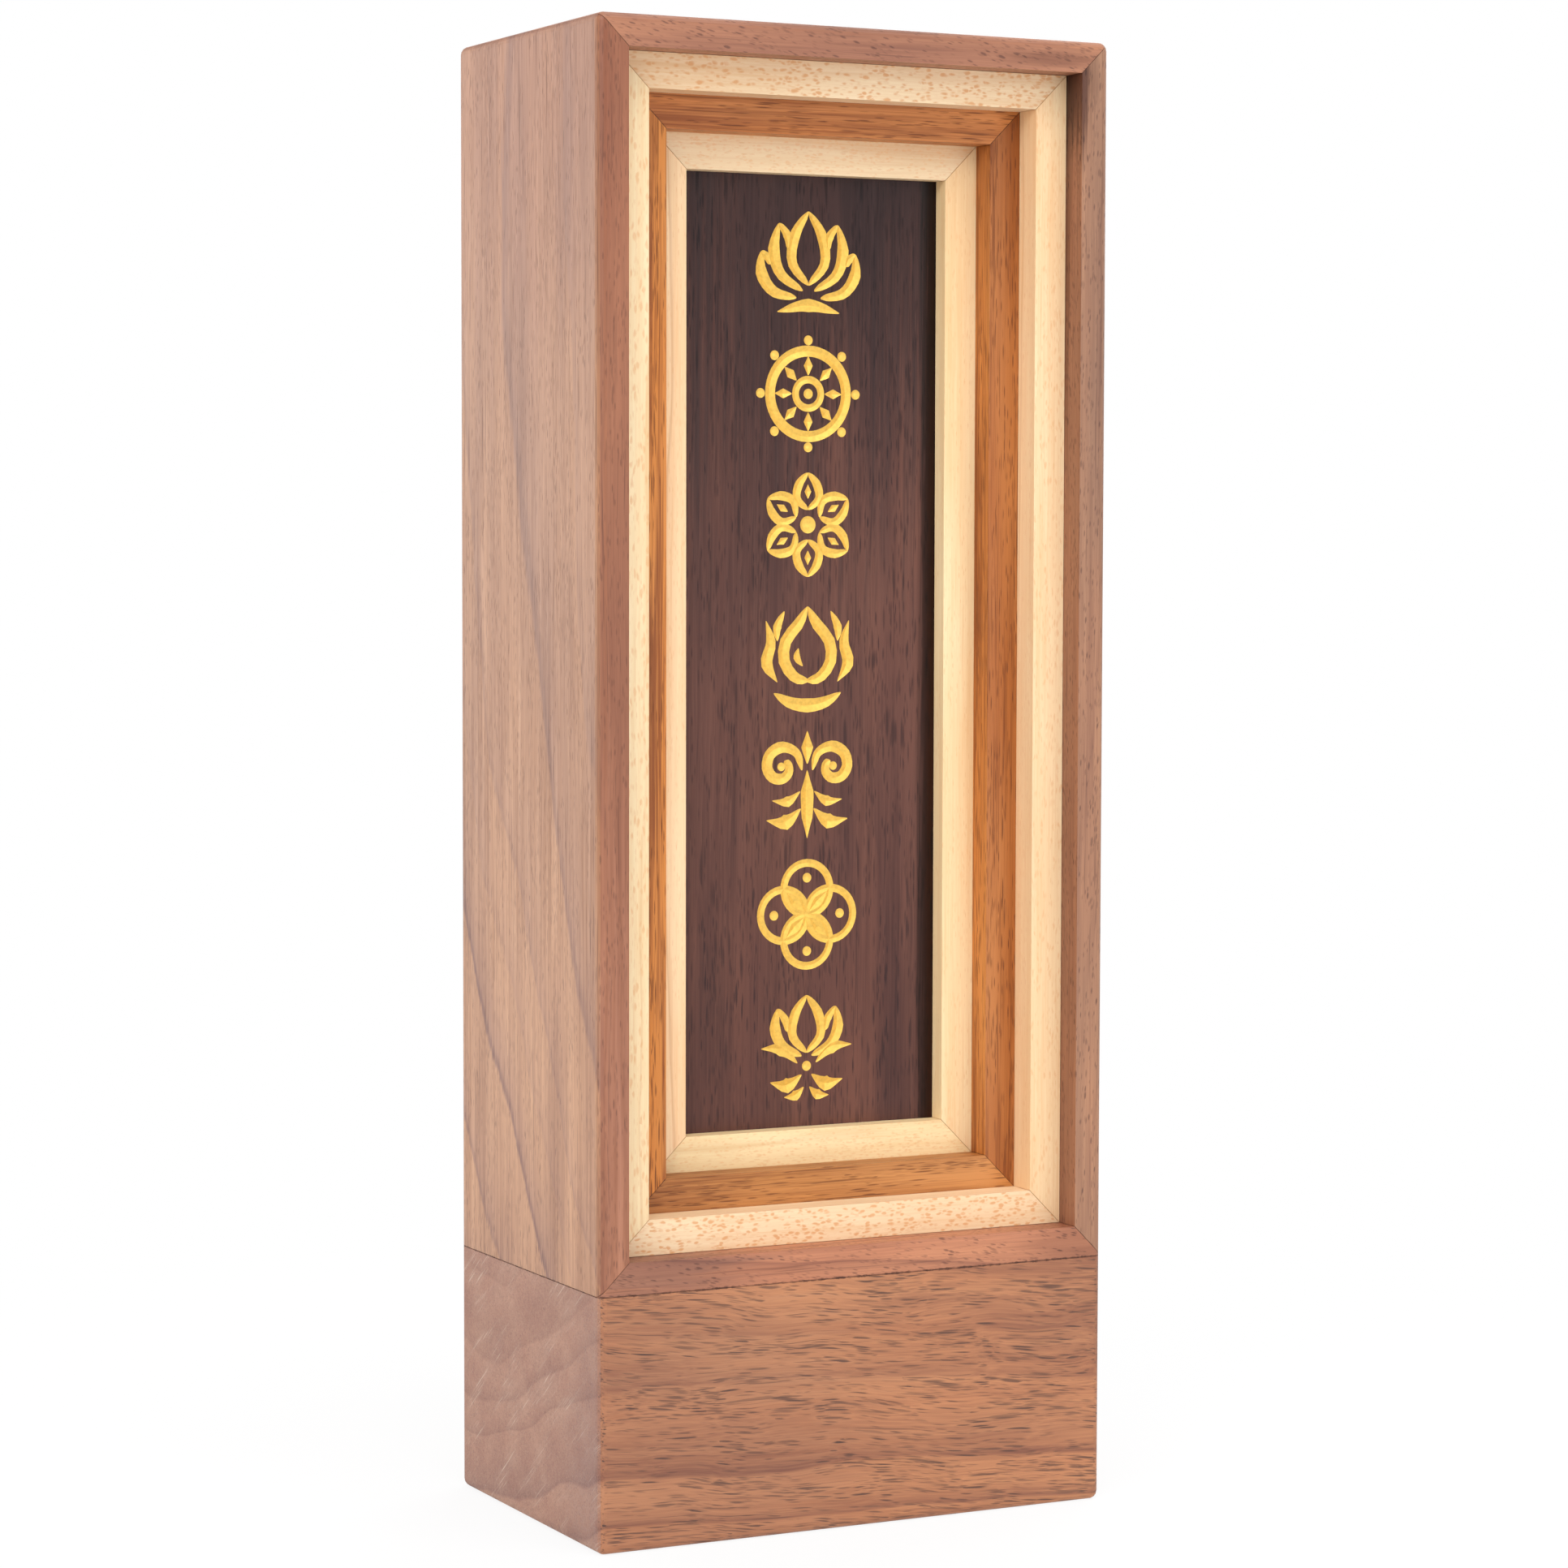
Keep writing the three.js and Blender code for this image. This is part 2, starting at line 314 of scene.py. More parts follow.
WALNUT = dict(
    WOOD, ring=8.5, calm=0.1, late=0.3, late_tint=(0.86, 0.87, 1.02), line=0.45,
    edge=(0.86, 0.95, 0.965), plain_front=True, jagged=1.6, warp=6, waver=0.5,
    flow=0.8, patch=0.22, fibre=0.42, tint=0.5,
    pores=((0.26, 2.6, 0.9, 0.5), (0.34, 1.5, 0.6, 0.5)), cluster=0.6, hair=0.45,
)
WALNUT_PANEL = dict(
    WALNUT, ring=6.5, late=0.24, late_tint=(0.9, 0.91, 1), line=0.3, plain_front=False,
)
WALNUT_EDGE = dict(
    WOOD, ring=2.6, calm=0.2, late=0.3, line=0.25, warp=5, waver=0.6,
    flow=1, patch=0.5, fibre=0.42, tint=0.9,
    pores=((0.28, 1.3, 0.8, 0.68), (0.42, 1.5, 0.4, 0.72)), cluster=0.5, hair=0.35,
)
WALNUT_BLOCK = dict(
    WOOD, ring=6, calm=0.1, late=0.62, line=0.1, warp=5, waver=1,
    waves=(0.11, 0.06), flow=2.6, patch=0.65, fibre=0.55, tint=0.6,
    pores=((0.3, 4.6, 1, 0.85), (0.38, 6, 0.9, 0.88), (0.25, 3, 0.9, 0.72), (0.55, 5.6, 0.3, 0.8)),
    # end_tone: the end grain's own grey tone together with a painted sheen, lifting green and blue
    cluster=0.75, hair=0.5, end_tone=(0.94, 1.19, 1.7), roughness=0.48, relief=0.045,
)
MAPLE = dict(
    WOOD, ring=2.6, late=0.4, line=0.35, waver=0.5, patch=0.6, fibre=0.55, tint=0.5,
    pores=((0.22, 1.2, 0.6, 0.45),), cluster=0.3, roughness=0.42, relief=0.012,
)
TEAK = dict(
    WOOD, ring=2.6, late=0.5, line=0.4, waver=0.6, flow=0.3, patch=0.9, fibre=0.75,
    tint=0.8, pores=((0.3, 4.6, 0.95, 0.9), (0.24, 2.4, 0.9, 0.8)), cluster=0.7, hair=0.6,
    roughness=0.44,
)
TEAK_UPRIGHT = dict(TEAK, patch=1.3, fibre=1.4, hair=0.45)
DARK_WOOD = dict(
    WOOD, ring=3.4, late=0.25, line=0.1, waver=0.8, patch=0.8, fibre=0.6, tint=0.9,
    pores=((0.44, 4.4, 0.8, 0.8), (0.34, 2.4, 0.8, 0.72), (0.7, 7, 0.45, 0.6)), cluster=0.7,
    hair=0.35, roughness=0.38, specular=0.2, relief=0.006,
)
PLAIN = dict(
    WOOD, ring=2, late=0.5, line=0.3, waver=1, patch=0.5, fibre=0.5, tint=0.4,
    pores=((0.25, 2.2, 0.5, 0.4),), cluster=0.3, roughness=0.55, relief=0.015,
)

AXES = {"X": (1, 0, 0), "Y": (0, 1, 0), "Z": (0, 0, 1)}
GRAIN_TURN = {"X": (0, math.pi / 2, 0), "Z": (0, 0, 0)}
SEED_STEPS = (3.7, 5.3, 17.1)
LINE_TINT = (0.72, 0.7, 0.82)
ARC_TINT = (0.64, 0.56, 0.56)
SCRATCH_TURN = math.radians(38)


class WoodSheet(NodeSheet):
    """The node tree of one solid wood, with the places and fibres that its layers share."""

    def __init__(self, name, kind, grain, seed, lean):
        super().__init__(bpy.data.materials.new(name))
        self.kind, self.grain, self.seed = kind, grain, seed
        self.place, self.normal = self.place_in_mm()
        self.turned = self.along_grain(lean)
        self.shift = tuple(seed * step for step in SEED_STEPS)
        self.moved = self.shifted(self.turned, self.shift)
        self.end = self.facing(grain)
        self.waver = self.wander(self.moved, per_mm(*kind["waves"]))
        self.swing = self.scaled(self.waver, (kind["flow"], kind["flow"], 0))
        self.flowing = self.shifted(self.moved, self.swing)
        self.fine = self.noise(self.flowing, per_mm(5, 0.08))
        self.streak = self.noise(self.flowing, per_mm(1.5, 0.02), detail=3, roughness=0.6)

    def along_grain(self, lean):
        """The place turned so that z runs along the fibres, which lean by two angles in degrees."""
        turn = Euler([math.radians(v) for v in (*lean, 0)]).to_matrix()
        turn = turn @ Euler(GRAIN_TURN[self.grain]).to_matrix()
        return self.add("Mapping", {"Vector": self.place, "Rotation": turn.to_euler()})[0]

    def facing(self, axis):
        """One where the surface looks along an axis of the object, either way."""
        across = self.vector("DOT_PRODUCT", self.normal, AXES[axis])["Value"]
        return self.ranged(self.math("ABSOLUTE", across), 0.6, 0.95)

    def rings(self, pith, sweep):
        """Growth rings of uneven width, counted by the distance from the pith.

        Gives the place within a ring, from nought to one, and then how far it is late wood, on the
        ring's last thin line and on its arc on the end grain.
        """
        kind = self.kind
        drift = self.wander(self.moved, per_mm(0.04, 0.01))
        bent = self.shifted(self.turned, self.scaled(drift, (2 * kind["warp"], 2 * kind["warp"], 0)))
        bent = self.shifted(bent, self.scaled(self.waver, (2 * kind["waver"], 2 * kind["waver"], 0)))
        x, y, z = self.apart(bent)
        y = self.total(y, self.product(z, sweep[0]), self.product(z, z, sweep[1]))
        flat = self.add("CombineXYZ", {0: x, 1: y})[0]
        radius = self.vector("DISTANCE", flat, (*pith, 0))["Value"]
        radius = self.total(radius, self.product(self.about(self.fine), kind["jagged"]))
        count = self.math("DIVIDE", radius, kind["ring"])
        uneven = self.noise_line(self.total(self.product(count, 0.4), self.seed * 7.3))
        count = self.total(count, self.product(uneven, 2.2))
        phase = self.math("FRACT", count)
        number = self.total(self.math("FLOOR", count), self.seed * 31)
        strong = self.ranged(self.chance(number), kind["calm"], 1, 0.08, 1)
        if kind["plain_front"]:
            strong = self.product(strong, self.ranged(self.facing("Y"), 0, 1, 1, 0.2))
        rise, full, fall = kind["edge"]
        drop = self.ranged(phase, fall, 1, 1, 0)
        late = self.product(self.math("POWER", phase, 2.2), drop, strong)
        line = self.product(
            self.ranged(phase, rise, full, smooth=True), drop, self.math("POWER", strong, 2)
        )
        return phase, late, line, self.product(self.math("POWER", phase, 4), drop)

    def fibres(self):
        """Fine fibres, from nought to one."""
        return self.ranged(self.total(self.fine, self.streak), 0.72, 1.28)

    def ground(self, fibres, late, line, light, dark, tint):
        """The wood's colour from its rings, fibres, broad tone changes and changes of hue."""
        kind = self.kind
        broad = self.ranged(self.noise(self.moved, per_mm(0.13, 0.016)), 0.32, 0.68)
        broad = self.product(self.about(broad), self.ranged(self.end, 0, 1, kind["patch"], 0.2))
        hue = self.noise(self.shifted(self.moved, (200, 0, 0)), per_mm(0.2, 0.02))
        hue = self.ranged(hue, 0.35, 0.65)
        tone = self.total(
            0.25, self.product(late, kind["late"]), self.product(line, kind["line"]),
            self.product(self.about(fibres), kind["fibre"]), broad,
        )
        tone = self.total(tone, self.product(self.end, 0.5, self.math("SUBTRACT", 0.4, tone)))
        colour = self.mixed(tone, opaque(light), opaque(dark))
        colour = self.multiplied(self.product(hue, kind["tint"]), colour, tint)
        colour = self.multiplied(self.product(line, kind["line"]), colour, LINE_TINT)
        return self.multiplied(late, colour, kind["late_tint"])

    def pores(self, phase, slant):
        """Short dark dashes, thickest in the early wood, and long thin hairs."""
        kind = self.kind
        early = self.ranged(phase, 0.1, 0.8, 1, 0.5)
        slanted = self.shifted(self.shifted(self.along_grain(slant), self.shift), self.swing)
        groups = self.noise(slanted, per_mm(0.45, 0.09), detail=1)
        crowd = self.product(early, self.ranged(groups, 0.4, 0.6, 1 - kind["cluster"], 1.15))
        hairs = self.ranged(self.noise(self.flowing, per_mm(3.6, 0.05), detail=1), 0.66, 0.72)
        pores = self.product(hairs, kind["hair"])
        for i, (width, length, share, strength) in enumerate(kind["pores"]):
            spread = self.shifted(self.scaled(slanted, per_mm(1 / width, 1 / length)), (13 * i, 0, 0))
            distance, first, second = self.cells(spread)
            ragged = self.total(distance, self.product(self.about(self.fine), 0.7))
            inside = self.ranged(ragged, 0.16, 0.44, 1, 0, smooth=True)
            opened = self.ranged(self.about(self.product(crowd, share), first), -0.04, 0.02)
            depth = self.ranged(second, 0, 1, 0.35 * strength, strength)
            pores = self.math("MAXIMUM", pores, self.product(inside, opened, depth))
        return self.product(pores, self.ranged(self.end, 0, 1, 1, 0.35))

    def flecked(self, colour, flecks):
        """Ray flecks on the faces that look forwards, on a faint haze."""
        fleck, width, length, share, strength = flecks
        bend = self.scaled(self.wander(self.moved, per_mm(1.2, 0.7)), (0.6, 0.6, 0.9))
        bent = self.scaled(self.shifted(self.moved, bend), (1 / width, 0.3 / width, 1 / length))
        distance, first, second = self.cells(bent)
        ragged = self.total(distance, self.product(self.about(self.fine), 0.25))
        size = self.ranged(second, 0, 1, 0.22, 0.46)
        spot = self.ranged(self.about(size, ragged), -0.2, 0.2, smooth=True)
        haze = self.ranged(self.noise(self.moved, per_mm(0.5, 0.16)), 0.35, 0.65)
        crowd = self.product(share, self.ranged(haze, 0, 1, 0.6, 1.1))
        shown = self.ranged(self.about(crowd, first), 0, 0.3)
        spot = self.total(self.product(spot, shown, self.facing("Y")), self.product(haze, 0.1))
        return self.mixed(self.product(spot, strength), colour, opaque(fleck))

    def scuffed(self, colour, scuffs):
        """Pale slanting scratches and specks on the end grain."""
        scuff, strength = scuffs
        slanting = self.add("Mapping", {"Vector": self.place, "Rotation": (SCRATCH_TURN, 0, 0)})[0]
        scratch = self.ranged(self.noise(slanting, (0.3, 0.16, 6), detail=1), 0.6, 0.7)
        rubbed = self.ranged(self.noise(slanting, (0.2, 0.09, 0.3), detail=3), 0.5, 0.7)
        speckle = self.ranged(self.noise(self.place, per_mm(4, 4), detail=1), 0.62, 0.72)
        pale = self.total(self.product(rubbed, self.total(scratch, 0.12)), self.product(speckle, 0.25))
        return self.mixed(self.product(pale, self.end, strength), colour, opaque(scuff))

    def stained(self, colour, one_shade_and_tone_patch):
        """A darker or lighter patch with a frayed edge: painted shadow and shade in some places, a
        change of tone in others.
        """
        middle, half, tone, strength = one_shade_and_tone_patch
        off = self.vector("SUBTRACT", self.place, middle)[0]
        off = self.length(self.scaled(off, tuple(1 / v for v in half)))
        off = self.total(off, self.product(self.about(self.streak), 1.6))
        return self.multiplied(self.ranged(off, 0.3, 1.1, strength, 0, smooth=True), colour, tone)

    def jointed(self, colour, joints):
        """Draws glue lines, fainter on the sides: the mitres of a frame, and a seam at one height."""
        line_colour, outline, seam, width = joints
        x, _, z = self.apart(self.place)
        worn = self.ranged(self.noise(self.place, per_mm(1.3, 1.3)), 0.38, 0.62, 0.25, 0.95)
        line = 0
        if outline:
            inset = []
            for at, low, high in zip((x, z), *((corner.x, corner.z) for corner in outline)):
                off = self.math("ABSOLUTE", self.about(at, (low + high) / 2 / MM))
                inset.append(self.math("SUBTRACT", (high - low) / 2 / MM, off))
            gap = self.math("ABSOLUTE", self.about(*inset))
            line = self.ranged(gap, width * 0.7, width * 1.6, 1, 0)
        if seam is not None:
            gap = self.math("ABSOLUTE", self.about(z, seam))
            ragged = self.noise(self.place, per_mm(1.6, 1.6), detail=3)
            ragged = self.ranged(ragged, 0.35, 0.7, 0.05, 0.2)
            line = self.math("MAXIMUM", line, self.ranged(self.about(ragged, gap), -0.04, 0.02))
        line = self.product(line, worn, self.ranged(self.facing("X"), 0, 1, 1, 0.5))
        return self.mixed(line, colour, opaque(line_colour))


def wood(name, kind, palette, grain, seed, lean=(0, 0), slant=(0, 0), pith=(60, 80),
         sweep=(0, 0), flecks=None, joints=None, painted_side_light=None, painted_shade_and_tone_patches=(), scuffs=None):
    """The material of one solid wood. Lengths are in mm.

    palette: light, dark, tint and pore colour; grain: axis of the fibres; lean and slant: tilt of the
    fibres and of the pores alone, in degrees; pith: ring centre across the grain; sweep: slope and
    curvature of the rings along it; flecks: colour, width, length, share of cells and strength; joints:
    colour, outline as (low, high) or None, seam height or None, half width; painted_side_light: painted
    light and shade, multiplying the faces that look sideways; painted_shade_and_tone_patches: middle,
    half sizes, colour and strength of each darker or lighter patch, some painted shadow and shade and
    some a change of tone; scuffs: colour and strength of pale scratches on the end grain.
    """
    light, dark, tint, pore = palette
    sheet = WoodSheet(name, kind, grain, seed, lean)
    phase, late, line, arcs = sheet.rings(pith, sweep)
    fibres, pores = sheet.fibres(), sheet.pores(phase, slant)
    colour = sheet.mixed(pores, sheet.ground(fibres, late, line, light, dark, tint), opaque(pore))
    if flecks:
        colour = sheet.flecked(colour, flecks)
    colour = sheet.multiplied(sheet.end, colour, kind["end_tone"])
    colour = sheet.multiplied(sheet.product(arcs, sheet.end, 0.45), colour, ARC_TINT)
    if scuffs:
        colour = sheet.scuffed(colour, scuffs)
    # Painted light and shade: the faces that look sideways are made lighter or darker
    if painted_side_light:
        colour = sheet.multiplied(sheet.facing("X"), colour, painted_side_light)
    # Patches of painted shadow and shade, and darker or lighter patches of tone
    for one_shade_and_tone_patch in painted_shade_and_tone_patches:
        colour = sheet.stained(colour, one_shade_and_tone_patch)
    if joints:
        colour = sheet.jointed(colour, joints)
    roughness = sheet.total(
        kind["roughness"] - 0.06, sheet.product(fibres, 0.1), sheet.product(pores, 0.2),
        sheet.product(sheet.end, 0.08),
    )
    sheet.shade({"Base Color": colour, "Roughness": roughness, "Specular IOR Level": kind["specular"]})
    sheet.bump(sheet.math("SUBTRACT", sheet.product(fibres, 0.3), pores), 0.6, kind["relief"])
    return sheet.owner


def metal(name, colour, dulling, noise_scale, span, roughness, metallic):
    """A metal that is duller in places; span is the noise's range. Gives its sheet, place and noise."""
    sheet = NodeSheet(bpy.data.materials.new(name))
    place, _ = sheet.place_in_mm()
    noise = sheet.noise(place, noise_scale, detail=3)
    dull = opaque(part * dulling for part in colour)
    sheet.shade({
        "Base Color": sheet.mixed(sheet.ranged(noise, *span), opaque(colour), dull),
        "Roughness": sheet.ranged(noise, 0.3, 0.7, *roughness), "Metallic": metallic,
    })
    return sheet, place, noise


def gilding(colour):
    """Satin gilding laid in the carving."""
    sheet, place, _ = metal("gilt", colour, 0.82, per_mm(2.2, 2.2), (0.35, 0.7), (0.34, 0.5), 0.4)
    sheet.bump(sheet.noise(place, per_mm(9, 9)), 0.4, 0.03)
    return sheet.owner


def plating(colour):
    """Bright plating of the magnets, with fine scratches."""
    sheet, _, scratch = metal("nickel", colour, 0.85, (8, 0.6, 0.6), (0, 1), (0.16, 0.34), 1)
    sheet.bump(scratch, 0.3, 0.01)
    return sheet.owner


def smooth_by_angle(piece, angle):
    """Shades the rounded edges smoothly and keeps the flat faces flat."""
    piece.data.polygons.foreach_set("use_smooth", [True] * len(piece.data.polygons))
    piece.data.set_sharp_from_angle(angle=angle)


def finish_node(name, material, ease):
    """Gives a node of the frame its material, and sands its sharp edges to a small round."""
    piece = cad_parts[name]
    piece.data.materials.clear()
    piece.data.materials.append(material)
    smooth_by_angle(piece, EDGE_ANGLE)
    bevel = piece.modifiers.new("eased edges", "BEVEL")
    bevel.width = ease
    bevel.segments = 2
    bevel.limit_method = "ANGLE"
    bevel.angle_limit = BEVEL_ANGLE
    evened = piece.modifiers.new("flat faces stay flat", "WEIGHTED_NORMAL")
    evened.keep_sharp = True


# Carved ornaments. A stroke is a list of (middle, side, half width) along its path, in mm; x is to the
# right and y is up, from the middle of the ornament. An ornament is its strokes, its closed round cuts
# and its dots, each (x, y, radius).
def curve_point(points, t):
    """A point on the smooth curve through some points, at t from 0 to 1."""
    count = len(points) - 1
    i = min(int(t * count), count - 1)
    a, b = Vector(points[i]), Vector(points[i + 1])
    before = Vector(points[i - 1]) if i else a * 2 - b
    after = Vector(points[i + 2]) if i + 2 <= count else b * 2 - a
    u = t * count - i
    return 0.5 * (2 * a + (b - before) * u + (2 * before - 5 * a + 4 * b - after) * u ** 2
                  + (3 * a - before - 3 * b + after) * u ** 3)


def width_at(widths, t):
    count = len(widths) - 1
    i = min(int(t * count), count - 1)
    return widths[i] + (widths[i + 1] - widths[i]) * (t * count - i)


def stroke(points, widths, steps=16, end=0.1):
    """A brush-like cut along a smooth curve, rounded off over a share of its length at both ends."""
    rows = []
    for i in range(steps + 1):
        t = 0.5 - 0.5 * math.cos(math.pi * i / steps)
        ahead = curve_point(points, min(t + 0.002, 1)) - curve_point(points, max(t - 0.002, 0))
        side = Vector((-ahead.y, ahead.x)).normalized()
        rounding = math.sqrt(min(t / end, 1) * min((1 - t) / end, 1))
        rows.append((curve_point(points, t), side, 0.5 * width_at(widths, t) * rounding))
    return rows


def polar(radius, degrees, centre=(0, 0)):
    """A point at a clockwise angle from straight up."""
    angle = math.radians(degrees)
    return (centre[0] + radius * math.sin(angle), centre[1] + radius * math.cos(angle))


def leaf(start, end, width, bend=0):
    """A pointed leaf from one point to another; bend bows it sideways by that share of its length."""
    start, end = Vector(start), Vector(end)
    along = end - start
    middle = start + along * 0.5 + Vector((-along.y, along.x)) * bend
    return stroke((start, middle, end), (0.5 * width, width, 0.35 * width), steps=12, end=0.45)


def spiral(centre, radii, degrees, widths):
    """A curl from one radius and angle to another."""
    count = max(4, int(abs(degrees[1] - degrees[0]) / 45))
    points = []
    for i in range(count + 1):
        t = i / count
        radius = radii[0] + (radii[1] - radii[0]) * t
        points.append(polar(radius, degrees[0] + (degrees[1] - degrees[0]) * t, centre))
    return stroke(points, widths, steps=count * 5, end=0.06)


def hoop(radius, width, centre=(0, 0), sides=48):
    """A closed round cut."""
    rows = []
    for i in range(sides):
        point = Vector(polar(radius, 360 * i / sides, centre))
        rows.append((point, (point - Vector(centre)).normalized(), 0.5 * width))
    return rows


def petal(root, tip, swell, width):
    """The outline of one petal, as a cut on either side of it."""
    root, tip = Vector(root), Vector(tip)
    along = tip - root
    across = Vector((-along.y, along.x)).normalized()
    sides = []
    for way in (-swell, swell):
        near, far = across * way, across * (way * 0.82)
        points = (root, root + along * 0.3 + near, root + along * 0.68 + far, tip)
        sides.append(stroke(points, (0.6 * width, width, 1.1 * width, 0.5 * width)))
    return sides


def mirrored(strokes):
    """The same strokes on the left and on the right."""
    return strokes + [[(Vector((-m.x, m.y)), Vector((-s.x, s.y)), half) for m, s, half in rows]
                      for rows in strokes]


def lotus_flower():
    leaves = mirrored([
        stroke(((-0.8, -3.6), (-3.9, -1.6), (-4.9, 1.4), (-4.2, 4.8)), (0.8, 1.4, 1.7, 0.6)),
        stroke(((-4.2, 4.8), (-3, 3.3), (-2.8, 1.6)), (0.6, 1.2, 0.6)),
        stroke(((-1.7, -4.5), (-4.9, -3.8), (-6.6, -1.6), (-6.7, 1.2)), (0.8, 1.4, 1.7, 0.6)),
        stroke(((-6.7, 1.2), (-5.8, 0.5), (-5.4, -0.4)), (0.6, 1.1, 0.6)),
    ])
    seat = stroke(((-4.4, -6.3), (0, -5.4), (4.4, -6.3)), (0.6, 1.7, 0.6), end=0.2)
    return petal((0, -2.9), (0, 6.4), 2.3, 1.35) + leaves + [seat], [], []


def wheel():
    spokes = [leaf(polar(2.35, a), polar(4.75, a), 1.25) for a in range(0, 360, 45)]
    knobs = [(*polar(6.75, a), 0.62) for a in range(0, 360, 45)]
    return spokes, [hoop(5.4, 1.4), hoop(1.8, 0.95, sides=32)], knobs + [(0, 0, 0.65)]


def round_flower():
    strokes, hearts = [], []
    for a in range(0, 360, 60):
        strokes += petal(polar(1.9, a), polar(6.6, a), 1.55, 1.1)
        hearts.append(leaf(polar(3.3, a), polar(5.1, a), 0.95))
    return strokes + hearts, [], [(0, 0, 1.1)]


def jewel():
    flames = mirrored([
        stroke(((0, 6.2), (-1.2, 4.1), (-3.1, 1.8), (-3.3, -0.8), (-1.8, -2.8), (0.2, -3.3)),
               (0.6, 1.5, 1.6, 1.6, 1.4, 1)),
        stroke(((-4.3, -3.4), (-5.8, -1), (-5.2, 1.6), (-5.9, 4.4)), (0.6, 1.7, 1.4, 0.5), end=0.2),
        stroke(((-4.3, 1.8), (-4.3, 3.6), (-3.3, 5.6)), (0.5, 1.2, 0.5), end=0.2),
    ])
    gleam = stroke(((-1.3, 0.9), (-1.5, -0.3), (-0.7, -1.4)), (0.5, 1, 0.5), end=0.3)
    dish = stroke(((-4.8, -4.8), (-2.5, -6), (0, -6.4), (2.5, -6), (4.8, -4.8)),
                  (0.6, 1.5, 1.8, 1.5, 0.6))
    return flames + [gleam, dish], [], []


def leaf_scroll():
    scrolls = mirrored([
        spiral((-3.7, 2.4), (3, 0.8), (100, -330), (0.8, 1.5, 1.5, 1.3, 0.9)),
        leaf((-0.9, -3), (-5.8, -4.4), 2, 0.2),
        leaf((-1, -0.8), (-5, -1.9), 1.4, 0.18),
    ])
    stem = stroke(((0, -6.8), (0, -4), (0, -1), (0, 1.9)), (0.5, 1.6, 1.9, 0.7), end=0.3)
    return scrolls + [stem, leaf((0, 2.7), (0, 6.9), 1.7)], [], [(-3.7, 2.4, 0.55), (3.7, 2.4, 0.55)]


def linked_circles():
    hoops = [hoop(3.3, 1, polar(3.3, a), sides=36) for a in (0, 90, 180, 270)]
    leaves = [leaf(polar(0.35, a), polar(4.3, a), 1.7) for a in (45, 135, 225, 315)]
    return leaves, hoops, [(*polar(4.7, a), 0.62) for a in (0, 90, 180, 270)] + [(0, 0, 0.75)]


def lotus_seat():
    leaves = mirrored([
        stroke(((-0.7, -1.6), (-3.4, -0.2), (-4.5, 2), (-4.2, 4.6)), (0.8, 1.35, 1.6, 0.6)),
        stroke(((-4.2, 4.6), (-3.1, 3.2), (-2.7, 1.6)), (0.6, 1.1, 0.6)),
        leaf((-1.3, -2.5), (-6.5, -0.4), 1.8, -0.16),
        leaf((-0.7, -4), (-5.2, -4.8), 2, 0.2),
        leaf((-0.4, -5.6), (-3.2, -6.8), 1.4, 0.16),
    ])
    return petal((0, -1.2), (0, 6.2), 2, 1.25) + leaves, [], [(0, -2.9, 0.65)]


ORNAMENTS = (lotus_flower, wheel, round_flower, jewel, leaf_scroll, linked_circles, lotus_seat)


def add_stroke_cutter(cutter, rows, centre, surface_y, sizes, closed=False):
    """Adds the V-shaped solid of one stroke; centre is the ornament's middle in x and z."""
    overlap, slope = sizes.carving_overlap, sizes.carving_slope

    def point(flat, depth):
        return cutter.verts.new((centre[0] + flat.x * MM, surface_y + depth, centre[1] + flat.y * MM))

    rings = []
    for middle, side, half in rows if closed else rows[1:-1]:
        left, right = middle + side * half, middle - side * half
        rings.append((
            point(left, 0), point(middle, half * slope * MM), point(right, 0),
            point(right, -overlap), point(left, -overlap),
        ))
    for a, b in zip(rings, rings[1:] + rings[:1] if closed else rings[1:]):
        for i in range(len(a)):
            j = (i + 1) % len(a)
            cutter.faces.new((a[i], a[j], b[j], b[i]))
    if closed:
        return
    ends = ((rows[0][0], rings[0]), (rows[-1][0], rings[-1]))
    for end, (left, low, right, high_right, high_left) in ends:
        tip, high_tip = point(end, 0), point(end, -overlap)
        cutter.faces.new((tip, left, low))
        cutter.faces.new((tip, low, right))
        cutter.faces.new((tip, right, high_right, high_tip))
        cutter.faces.new((high_tip, high_right, high_left))
        cutter.faces.new((tip, high_tip, high_left, left))


def add_dot_cutter(cutter, x, z, radius, surface_y, sizes, sides=20):
    """Adds the closed cone of one round dot."""
    tip = cutter.verts.new((x, surface_y + radius * sizes.carving_slope, z))
    low, high = [], []
    for i in range(sides):
        angle = 2 * math.pi * i / sides
        px, pz = x + radius * math.cos(angle), z + radius * math.sin(angle)
        low.append(cutter.verts.new((px, surface_y, pz)))
        high.append(cutter.verts.new((px, surface_y - sizes.carving_overlap, pz)))
    for i in range(sides):
        j = (i + 1) % sides
        cutter.faces.new((tip, low[i], low[j]))
        cutter.faces.new((low[i], high[i], high[j], low[j]))
    cutter.faces.new(high)


def placed(name, data):
    """A new object, in the scene."""
    piece = bpy.data.objects.new(name, data)
    bpy.context.scene.collection.objects.link(piece)
    return piece


def new_piece(name, mesh_data, materials):
    mesh = bpy.data.meshes.new(name)
    mesh_data.to_mesh(mesh)
    mesh_data.free()
    for material in materials:
        mesh.materials.append(material)
    return placed(name, mesh)


